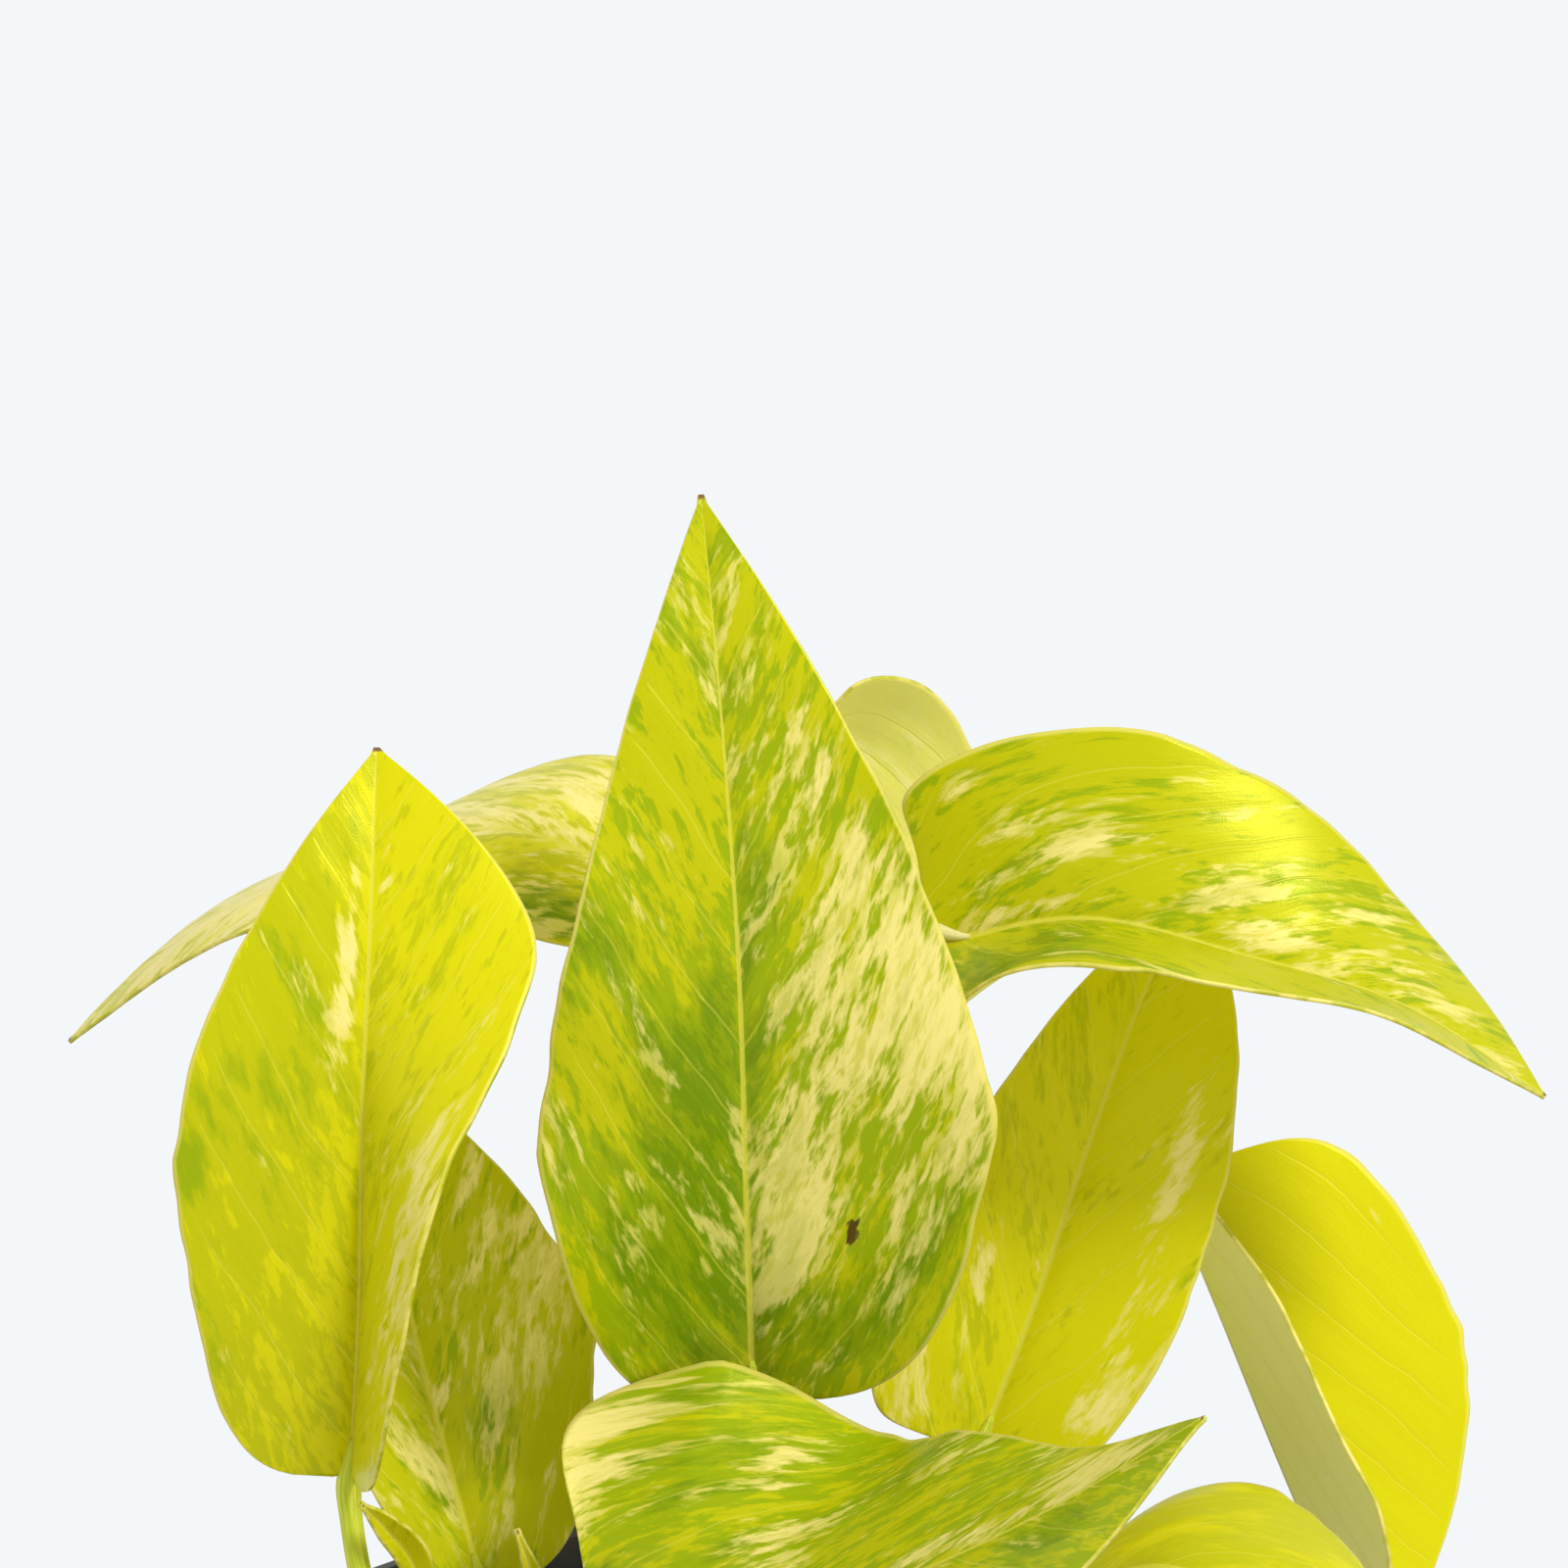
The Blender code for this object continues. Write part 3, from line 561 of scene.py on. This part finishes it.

# name: broad patches of colour on the blade, each of a kind, with its middle (share along, share across), its
#       reach each way and its strength. "all" gives the whole blade's cream, lime and deep green. Most
#       patches are the blade's own variegation; the ones marked below are painted shade.
PATCHES = {
    "blade_centre": (
        ("all", -0.5, 0.3, -0.2), ("lime", 0.9, 0.0, 0.12, 1.0, 1.4), ("cream", 0.5, 0.6, 0.26, 0.45, 2.0),
        ("cream", 0.23, 0.22, 0.13, 0.2, 3.6),
        ("cream", 0.42, 0.9, 0.14, 0.2, 2.4), ("cream", 0.66, 0.62, 0.1, 0.25, 1.4),
        ("deep", 0.3, -0.25, 0.18, 0.35, 3.4), ("deep", 0.12, -0.4, 0.1, 0.55, 3.0),
        ("deep", 0.54, -0.9, 0.06, 0.3, 2.2),
        ("deep", 0.44, -0.12, 0.1, 0.2, 2.4), ("deep", 0.11, 0.5, 0.06, 0.45, 2.8),
        ("deep", 0.2, 0.86, 0.06, 0.2, 2.0),
        ("deep", 0.6, 0.12, 0.07, 0.12, 2.2), ("lime", 0.4, -0.88, 0.1, 0.2, 2.0),
        ("lime", 0.7, -0.5, 0.16, 0.5, 0.8),
        ("lime", 0.2, -0.5, 0.1, 0.3, 0.8), ("scar", 0.215, 0.47, 0.02, 0.045, 1.3),
    ),
    "blade_left": (
        # The two lime patches of negative strength on the left half are painted shade, turning that half
        # olive.
        ("all", -1.6, 2.0, -0.4), ("lime", 0.4, -0.7, 0.4, 0.6, -3.0), ("lime", 0.8, -0.6, 0.2, 0.5, -2.6),
        ("cream", 0.67, -0.16, 0.11, 0.1, 4.4), ("cream", 0.8, -0.2, 0.06, 0.12, 3.4),
        ("cream", 0.74, 0.12, 0.14, 0.1, 2.6), ("cream", 0.5, 0.86, 0.16, 0.3, 2.6),
        ("cream", 0.28, 0.75, 0.22, 0.5, 3.0),
        # The deep patches at (0.56, -0.65), (0.86, -0.35) and (0.42, -0.25) are painted shade on the left
        # half; the one at (0.45, -0.93) is the blade's own dark green.
        ("deep", 0.45, -0.93, 0.045, 0.12, 5.0), ("deep", 0.56, -0.65, 0.06, 0.5, 1.6),
        ("deep", 0.86, -0.35, 0.05, 0.25, 1.8),
        ("deep", 0.42, -0.25, 0.12, 0.25, 1.2), ("cream", 0.93, 0.1, 0.05, 0.2, 1.6),
    ),
    "blade_back_left": (
        ("all", 1.5, 0.6, -0.8), ("deep", 0.1, -0.75, 0.14, 0.45, 4.0),
        ("cream", 0.25, -0.4, 0.16, 0.35, -2.0),
        ("cream", 0.6, 0.0, 0.3, 1.0, 1.6),
    ),
    "blade_low_left": (
        ("all", 0.2, 2.2, -1.0), ("cream", 0.58, 0.8, 0.14, 0.3, 1.8), ("cream", 0.4, 0.6, 0.07, 0.3, 2.2),
        # The first deep patch here, low on the right half beside the midrib, is a painted shadow cast by the
        # blades above it.
        ("deep", 0.3, 0.36, 0.1, 0.25, 3.0), ("deep", 0.18, -0.3, 0.14, 0.4, 2.2),
        ("lime", 0.2, 0.7, 0.1, 0.2, 1.2),
    ),
    "blade_back_top": (("all", -0.4, 0.6, 0.0), ("cream", 0.2, -0.5, 0.25, 0.5, 2.6)),
    "blade_right": (
        ("all", -0.6, 1.7, -0.5), ("cream", 0.26, -0.42, 0.08, 0.1, 2.2),
        ("cream", 0.4, -0.36, 0.1, 0.12, 1.8),
        ("cream", 0.1, -0.06, 0.14, 0.08, 2.4), ("cream", 0.55, -0.12, 0.1, 0.16, 2.2),
        ("cream", 0.34, -0.78, 0.06, 0.1, 1.8),
        ("cream", 0.72, -0.3, 0.16, 0.3, 2.0), ("cream", 0.9, 0.1, 0.1, 0.6, 1.6),
        ("deep", 0.2, 0.5, 0.2, 0.45, 3.2),
        ("deep", 0.46, -0.5, 0.1, 0.2, 1.4),
    ),
    "blade_mid_right": (
        ("all", -1.4, 1.9, -0.8), ("lime", 0.4, 0.7, 0.4, 0.5, 2.0), ("cream", 0.5, 0.66, 0.22, 0.12, 3.4),
        ("cream", 0.2, 0.82, 0.12, 0.22, 3.4),
        ("cream", 0.09, -0.8, 0.09, 0.3, 3.6), ("cream", 0.3, -0.42, 0.07, 0.1, 2.4),
        # The deep patch at the top of the left half is painted shade, where the blades above shade it.
        ("deep", 0.7, -0.5, 0.14, 0.6, 1.8),
        ("scar", 0.1, -0.72, 0.012, 0.05, 0.95),
    ),
    "blade_far_right": (("all", -2.4, 3.6, -2.0), ("cream", 0.3, -0.86, 0.1, 0.12, 1.6)),
    "blade_front": (
        ("all", -0.7, 0.2, 0.1), ("cream", 0.04, -0.85, 0.06, 0.25, 4.0),
        ("cream", 0.28, -0.3, 0.07, 0.25, 2.8),
        ("cream", 0.2, -0.72, 0.03, 0.16, 1.8), ("cream", 0.5, -0.75, 0.08, 0.2, 1.8),
        ("cream", 0.8, -0.5, 0.12, 0.5, 4.4),
        ("cream", 0.62, -0.12, 0.14, 0.12, 2.6), ("deep", 0.76, 0.3, 0.1, 0.25, 2.4),
        ("deep", 0.14, -0.7, 0.06, 0.25, 1.2),
        ("lime", 0.4, 0.5, 0.3, 0.5, 1.4),
    ),
    "blade_low_right": (("all", -2.2, -1.0, 3.0),),
    "blade_rear_top": (
        ("all", -0.2, 1.2, -0.2), ("cream", 0.4, 0.5, 0.2, 0.3, 2.2), ("deep", 0.2, -0.4, 0.15, 0.4, 2.0),
    ),
    "blade_rear_right": (
        ("all", -0.4, 0.4, 0.2), ("cream", 0.5, -0.5, 0.2, 0.35, 2.4), ("deep", 0.6, 0.5, 0.2, 0.3, 1.6),
    ),
    "blade_rear_left": (
        ("all", -0.6, 1.4, -0.3), ("cream", 0.35, 0.4, 0.2, 0.25, 2.4), ("deep", 0.2, -0.6, 0.2, 0.4, 1.6),
    ),
    "sheath_left": (("all", -2.0, 1.5, -0.5),),
    "sheath_front": (("all", -2.0, 0.8, 0.0),),
}
KINDS = ("cream", "lime", "deep", "scar")

DEEP_GREEN = (0.14, 0.235, 0.002, 1.0)
LEAF_GREEN = (0.275, 0.355, 0.002, 1.0)
LIME = (0.46, 0.455, 0.002, 1.0)
YELLOW = (0.60, 0.555, 0.002, 1.0)
CREAM = (0.80, 0.68, 0.215, 1.0)
RIB_CREAM = (0.66, 0.60, 0.06, 1.0)
EDGE_CREAM = (0.74, 0.64, 0.13, 1.0)
TIP_BROWN = (0.20, 0.10, 0.045, 1.0)
SCAR_BROWN = (0.07, 0.03, 0.008, 1.0)
# The underside colours are the underside's own paler green, lime and cream, raised far above it to paint in
# the light that shines through the thin blade.
UNDER_GREEN = (0.74, 0.76, 0.15, 1.0)
UNDER_LIME = (0.88, 0.84, 0.20, 1.0)
UNDER_CREAM = (0.90, 0.84, 0.36, 1.0)


def leaf_skin(name, deep, green, lime, cream, roughness):
    """A waxy leaf face, whose patches follow the side veins and break up into streaks and flecks.

    lie gives the place on the blade: centimetres from the midrib and from the stalk, and the share of the
    way to the edge. tint gives the patches, painted shade among them, and mark the scar, the dry tip and the
    blade's own seed."""
    finish = Finish(name)
    finish.waxy()
    lie = finish.add("ShaderNodeAttribute", {"attribute_name": "lie"}, output=1)
    tint = finish.add("ShaderNodeAttribute", {"attribute_name": "tint"}, output=1)
    mark = finish.add("ShaderNodeAttribute", {"attribute_name": "mark"}, output=1)
    across, along, reach = finish.parts(lie)
    creamy, limy, deeper = finish.parts(tint)
    scar, brown, seed = finish.parts(mark)
    side = across.size()
    drift = finish.noise(finish.vector(across * 0.7, along * 0.7, seed), 1.0, detail=2.0)
    vein = along - side * VEIN_SLOPE - side * side * (VEIN_BEND * MM_PER_CM) + drift * 0.5
    layer = seed + finish.step(across, -0.01, 0.01) * 5.0
    broad = finish.noise(finish.vector(vein * 0.9, side * 0.5, layer), 1.0, detail=2.0)
    streak = finish.noise(finish.vector(vein * 1.7, side * 2.0, layer + 3.0), 1.0, detail=4.0, rough=0.6)
    fleck = finish.noise(finish.vector(vein * 5.0, side * 6.0, layer + 7.0), 1.0, detail=3.0, rough=0.6)
    grain = finish.noise(finish.vector(vein * 2.8, side * 3.2, layer + 11.0), 1.0, detail=4.0, rough=0.65)
    pale = broad * 0.3 + streak * 0.45 + fleck * 0.35 + creamy * 0.045
    bright = broad * -0.25 + grain * 0.55 + fleck * 0.35 + limy * 0.05 + 0.2
    dark = broad * 0.35 + grain * 0.4 + streak * 0.25 + deeper * 0.045
    shade = finish.step(dark, 0.5, 0.64)
    skin = finish.mix(shade, green, deep)
    skin = finish.mix(finish.step(bright, 0.52, 0.6) * (1.0 - shade * 0.75), skin, lime)
    soft = finish.mix(0.45, lime, cream)
    skin = finish.mix(finish.step(pale, 0.575, 0.64) * (0.8 - shade * 0.35), skin, soft)
    milky = finish.mix(finish.step(fleck * 0.6 + grain * 0.4, 0.5, 0.62) * 0.55, cream, lime)
    skin = finish.mix(finish.step(pale, 0.61, 0.68) * (0.95 - shade * 0.4), skin, milky)
    comb = finish.add("ShaderNodeMath", {"operation": "FRACT"}, {0: vein * (MM_PER_CM / VEIN_PITCH)})
    line = 1.0 - finish.step((comb - 0.5).size(), 0.008, 0.035)
    finer = vein * (THREADS * MM_PER_CM / VEIN_PITCH)
    fine = finish.add("ShaderNodeMath", {"operation": "FRACT"}, {0: finer})
    thread = 1.0 - finish.step((fine - 0.5).size(), 0.03, 0.16)
    inside = 1.0 - finish.step(reach, 0.8, 0.95)
    skin = finish.mix(line * inside * 0.3 + thread * inside * 0.04, skin, RIB_CREAM)
    thin = 0.075 - along * 0.0055
    rib = 1.0 - finish.step(side, thin * 0.35, thin)
    skin = finish.mix(rib * 0.72, skin, RIB_CREAM)
    skin = finish.mix(finish.step(reach + fleck * 0.01, 0.975, 0.995) * 0.7, skin, EDGE_CREAM)
    skin = finish.mix(finish.step(brown + fleck * 0.6, 0.75, 1.0), skin, TIP_BROWN)
    skin = finish.mix(finish.step(scar + streak * 2.0 + fleck * 2.0 - 2.0, 0.75, 0.95), skin, SCAR_BROWN)
    finish.colour(skin)
    finish.roughness(roughness + fleck * 0.12 - rib * 0.04)
    cells = finish.noise(finish.vector(across * 55.0, along * 55.0, seed), 1.0, detail=2.0)
    finish.bump(line * inside * -0.5 + fleck * 0.5 + cells * 0.35 + thread * inside * 0.12, 0.00012, 0.5)
    return finish.material


def pale_edge():
    finish = Finish("leaf_edge", roughness=0.45)
    lie = finish.add("ShaderNodeAttribute", {"attribute_name": "lie"}, output=1)
    patch = finish.noise(lie, 3.0)
    finish.colour(finish.mix(finish.step(patch, 0.4, 0.6), EDGE_CREAM, LIME))
    return finish.material


def half_width(share, widest, peak, widen, narrow):
    """Half the blade's width at a share of the way from the stalk to the tip."""
    if share < peak:
        size = (share / peak) ** widen
    else:
        size = 1.0 - ((share - peak) / (1.0 - peak)) ** narrow
    least = min(NECK, widest) * (1.0 - share) + TIP * share
    return max(size * widest, least)


def blade_frame(midrib, share, facing):
    """The midrib's point at a share of its length, with the directions ahead, out of the face and right."""
    point = smooth_point(midrib, share)
    ahead = (smooth_point(midrib, share + 0.01) - smooth_point(midrib, share - 0.01)).normalized()
    out = smooth_point(facing, share)
    out = (out - ahead * out.dot(ahead)).normalized()
    return point, ahead, out, ahead.cross(out)


def margin_wave(share, turn):
    """How much the margin draws in at a place: a few slow waves and finer kinks, none at the ends."""
    waves = 0.5 * math.sin(23.0 * share + 3.1 * turn) + 0.35 * math.sin(41.0 * share + 5.7 * turn)
    kinks = 0.3 * math.sin(83.0 * share + 1.3 * turn) * math.sin(9.0 * share + turn)
    return MARGIN_WAVE * (1.0 + waves + kinks) * math.sin(math.pi * min(1.0, share * 1.05))


def blade_row(blade, share, row):
    """The points of one row across the blade, each with its distance from the midrib, from edge to edge."""
    midrib, facing, widths, peaks, outline, folds, curls, ripple, lobe = blade
    middle, ahead, out, right = blade_frame(midrib, share, facing)
    turns = smooth_point(folds, share)
    points = []
    for across in row:
        side = 0 if across < 0 else 1
        reach = abs(across)
        width = half_width(share, widths[side], peaks[side], outline[side], outline[2 + side])
        width *= 1.0 - margin_wave(share, side + widths[0]) * reach ** 2
        fold = math.radians(turns[side])
        bend = math.radians(curls[side]) * reach
        chord = width * reach * (math.sin(bend / 2) / (bend / 2) if abs(bend) > 1e-6 else 1.0)
        outward = right if across > 0 else -right
        point = middle + (outward * math.cos(fold + bend / 2) + out * math.sin(fold + bend / 2)) * chord
        point = point - ahead * lobe * math.sin(math.pi * min(1.0, share / peaks[side])) * reach ** 2
        wave = math.sin(share * 17.0 + across * 2.0) * math.sin(math.pi * share)
        points.append((point + out * ripple * wave * reach ** 2, width * reach, out))
    return points


def relief(distance, along, reach, length):
    """How far the skin stands off its plain surface: a channel on the midrib, swells between side veins."""
    vein = along - distance * VEIN_SLOPE - distance ** 2 * VEIN_BEND
    fade = min(1.0, distance / 3.0) * (1.0 - reach ** 4)
    swell = VEIN_SWELL * math.cos(math.tau * vein / VEIN_PITCH) * fade
    channel = RIB_DEPTH * math.exp(-((distance / RIB_WIDTH) ** 2)) * (1.0 - 0.7 * along / length)
    return swell - channel


def patch_values(name, share, across):
    """The strength of cream, lime, deep green and scar at a place on the blade."""
    values = [0.0, 0.0, 0.0, 0.0]
    for kind, *facts in PATCHES[name]:
        if kind == "all":
            values[:3] = facts
            continue
        at, beside, long, wide, strength = facts
        away = ((share - at) / long) ** 2 + ((across - beside) / wide) ** 2
        values[KINDS.index(kind)] += strength * math.exp(-away)
    return values


def make_blade(name, seed, skins):
    spine, faces, widths, peaks, outline, folds, curls, ripple, lobe, colour = BLADES[name]
    spine, faces, folds = ([Vector(item) for item in items] for items in (spine, faces, folds))
    blade = (spine, faces, widths, peaks, outline, folds, curls, ripple, lobe)
    small = name.startswith("sheath")
    rows = SHEATH_ROW_COUNT if small else ROW_COUNT
    columns = SHEATH_HALF_COLUMNS if small else HALF_COLUMNS
    length = sum((far - near).length for near, far in zip(spine, spine[1:]))
    bm = bmesh.new()
    lie, tint, mark = (bm.verts.layers.float_vector.new(kind) for kind in ("lie", "tint", "mark"))
    bmesh.ops.create_grid(bm, x_segments=2 * columns, y_segments=rows, size=1.0)
    row = [index / columns - 1.0 for index in range(2 * columns + 1)]
    grid = [blade_row(blade, (index / rows) ** ROW_CROWDING, row) for index in range(rows + 1)]
    for vert in bm.verts:
        line = round((vert.co.y + 1.0) / 2.0 * rows)
        column = round((vert.co.x + 1.0) * columns)
        share, across = (line / rows) ** ROW_CROWDING, row[column]
        point, distance, out = grid[line][column]
        cream, lime, deep, scar = patch_values(name, share, across)
        tip = max(0.0, (share - 1.0 + DRY_TIP) / DRY_TIP)
        aside = math.copysign(distance, across)
        vert[lie] = (aside / MM_PER_CM, share * length / MM_PER_CM, abs(across))
        vert[tint] = (cream, lime, deep)
        vert[mark] = (scar, tip, seed)
        raised = 0.0 if small else relief(distance, share * length, abs(across), length)
        vert.co = (point + out * raised) * MM
    piece = link_mesh(f"{name}_skin", bm, skins[colour])
    piece.data.materials.append(skins["leaf_underside"])
    piece.data.materials.append(skins["leaf_edge"])
    solid = piece.modifiers.new("thickness", "SOLIDIFY")
    solid.thickness = BLADE_THICKNESS * MM
    solid.offset = 0.0
    solid.material_offset = 1
    solid.material_offset_rim = 2
    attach(piece, "root")
    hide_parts(name)


def make_blades():
    skins = {
        "leaf_green": leaf_skin("leaf_green", DEEP_GREEN, LEAF_GREEN, LIME, CREAM, 0.25),
        "leaf_lime": leaf_skin("leaf_lime", LEAF_GREEN, LIME, YELLOW, CREAM, 0.25),
        "leaf_yellow": leaf_skin("leaf_yellow", LIME, YELLOW, YELLOW, CREAM, 0.32),
        "leaf_cream": leaf_skin("leaf_cream", DEEP_GREEN, LIME, YELLOW, CREAM, 0.32),
        "leaf_underside": leaf_skin("leaf_underside", UNDER_GREEN, UNDER_LIME, UNDER_LIME, UNDER_CREAM, 0.42),
        "leaf_edge": pale_edge(),
    }
    for index, name in enumerate(BLADES):
        make_blade(name, SEED_STEP * index + SEED_START, skins)


make_blades()

# ---- Stalks --------------------------------------------------------------------------------------
# Thirteen leaf stalks. Each is fleshy, has a shallow channel on its upper side, grows out of its vine and
# runs on into its blade's midrib, with a knee just under the blade.
STALK_FOOT_RADIUS = 2.0
STALK_TOP_RADIUS = 1.4
STALK_LEAD = 4.0
STALK_RUN_ON = 5.0
STALK_STEPS = 44
STALK_SIDES = 20
STALK_GROOVE = 0.1
KNEE_SHARE = 0.8
KNEE_REACH = 0.06
KNEE_SWELL = 0.16
SHEATH_DROP = 4.0
STALK_GREEN = ((0.40, 0.48, 0.02, 1.0), (0.66, 0.66, 0.07, 1.0))
STALK_CREAM = ((0.66, 0.60, 0.20, 1.0), (0.84, 0.77, 0.42, 1.0))

# name: middle line from the foot, beside its vine, to near the blade; colour
STALKS = {
    "stalk_centre": (((3.5, -9.5, 110), (4, -12, 120)), "stalk_green"),
    "stalk_left": (((-39.5, -18.8, 97.5), (-43.3, -22.5, 105)), "stalk_green"),
    "stalk_back_left": (((-0.8, 17.3, 117), (-3, 12, 148), (-3, 6, 172)), "stalk_green"),
    "stalk_low_left": (((-29, -7, 90), (-28.5, -6.5, 95)), "stalk_green"),
    "stalk_back_top": (((7, 18, 120), (9, 15, 150), (7.5, 17, 183), (6.5, 22, 200)), "stalk_cream"),
    "stalk_right": (((6.2, 18, 111), (9, 4, 130), (14, -3, 160)), "stalk_cream"),
    "stalk_mid_right": (((31, 2, 100), (29.5, 0, 107)), "stalk_green"),
    "stalk_far_right": (((43, 15, 118), (47.5, 20, 138), (49.5, 19.5, 150)), "stalk_green"),
    "stalk_front": (((-4.5, -11, 95), (-11, -22, 101)), "stalk_green"),
    "stalk_low_right": (((32, 2, 94), (35, -12, 102)), "stalk_green"),
    "stalk_rear_top": (((4, 26, 116), (4, 31, 126)), "stalk_green"),
    "stalk_rear_right": (((8, 26, 104), (16, 32, 108)), "stalk_green"),
    "stalk_rear_left": (((-2, 28, 99), (-6, 34, 104)), "stalk_green"),
}


def stalk_size(share):
    """Its radius, with a knee just under the blade, where it runs out into the midrib."""
    taper = (STALK_FOOT_RADIUS - STALK_TOP_RADIUS) * (1.0 - share) ** 1.5
    knee = KNEE_SWELL * math.exp(-(((share - KNEE_SHARE) / KNEE_REACH) ** 2))
    running_out = min(1.0, (1.02 - share) / 0.16) ** 0.7
    return (STALK_TOP_RADIUS + taper) * (0.93 + knee) * running_out


def stalk_root(foot):
    """Where a stalk grows out of its vine: on the vine's middle line, a little below the stalk's foot."""
    target = Vector(foot) - Vector((0.0, 0.0, SHEATH_DROP))
    middles = [point for points in VINES.values() for point in smooth_line(points, VINE_STEPS)]
    return min(middles, key=lambda point: (point - target).length)


def make_stalks():
    skins = {
        "stalk_green": stem_skin("stalk_green", *STALK_GREEN),
        "stalk_cream": stem_skin("stalk_cream", *STALK_CREAM),
    }
    for name, (points, colour) in STALKS.items():
        midrib = [Vector(point) for point in BLADES[name.replace("stalk", "blade")][0]]
        lean = (midrib[1] - midrib[0]).normalized()
        ends = [midrib[0] - lean * STALK_LEAD, midrib[0] + lean * STALK_RUN_ON]
        line = smooth_line([stalk_root(points[0]), *points, *ends], STALK_STEPS)
        piece = fleshy_tube(f"{name}_stem", line, stalk_size, skins[colour], STALK_SIDES, STALK_GROOVE)
        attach(piece, "root")
        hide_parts(name)


make_stalks()
